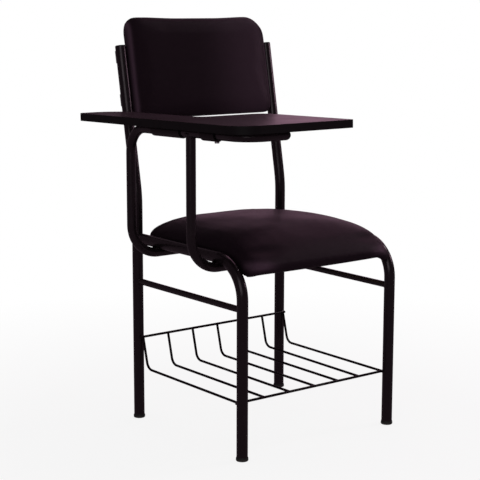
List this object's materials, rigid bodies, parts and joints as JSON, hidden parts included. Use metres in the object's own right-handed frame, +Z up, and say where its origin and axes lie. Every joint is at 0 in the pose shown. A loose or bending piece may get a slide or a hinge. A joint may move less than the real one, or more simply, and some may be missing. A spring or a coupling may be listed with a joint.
{
  "type": "tablet-arm student chair",
  "caption": "Bent steel-tube school chair with padded vinyl seat and back, a writing board on a sleeve hinge and a wire book rack under the seat.",
  "frame": {"origin": "on the floor under the middle of the part's overall size", "axes": "+Z up; the sitter faces -Y; the writing board is on the -X side, at the sitter's right hand"},
  "size_m": [0.5324, 0.5966, 0.8432],
  "materials": {
    "frame_paint": "gloss black baked paint on steel tube and wire",
    "vinyl": "dark plum-black upholstery vinyl, soft sheen",
    "laminate": "dark wine laminate, satin",
    "edge_band": "black edge banding",
    "plywood": "bare birch plywood",
    "screw_steel": "zinc-plated steel",
    "plug_plastic": "black moulded plastic",
    "rubber": "black rubber"
  },
  "bodies": {
    "chair_frame": {"arm_post": "frame_paint", "arm_tip": "plug_plastic", "arm_tube": "frame_paint", "back_board": "plywood", "back_pad": "vinyl", "back_screws": "screw_steel", "back_strap_high": "frame_paint", "back_strap_low": "frame_paint", "foot_glide_front_left": "plug_plastic", "foot_glide_front_right": "plug_plastic", "foot_glide_rear_left": "plug_plastic", "foot_glide_rear_right": "plug_plastic", "front_leg_left": "frame_paint", "front_leg_right": "frame_paint", "rack_rail_front": "frame_paint", "rack_rail_rear": "frame_paint", "rack_wire_1": "frame_paint", "rack_wire_2": "frame_paint", "rack_wire_3": "frame_paint", "rack_wire_4": "frame_paint", "rack_wire_5": "frame_paint", "rack_wire_6": "frame_paint", "rack_wire_7": "frame_paint", "rear_leg_left": "frame_paint", "rear_leg_right": "frame_paint", "seat_board": "plywood", "seat_pad": "vinyl", "seat_screws": "screw_steel", "side_brace_left": "frame_paint", "side_brace_right": "frame_paint", "upright_plug_left": "plug_plastic", "upright_plug_right": "plug_plastic"},
    "tablet": {"tablet_board": "laminate", "tablet_edge_band": "edge_band", "tablet_screws": "screw_steel", "hinge_sleeve_rear": "frame_paint", "hinge_sleeve_front": "frame_paint", "hinge_plate_rear": "frame_paint", "hinge_plate_front": "frame_paint", "rest_bumper": "rubber", "stop_bolt": "screw_steel"}
  },
  "joints": [
    {"name": "tablet_flip", "type": "hinge", "parent": "chair_frame", "child": "tablet", "pos_m": [-0.191, 0.04462, 0.6304], "axis": [0, -0.9998, 0.0183], "range_deg": [0, 90]}
  ]
}
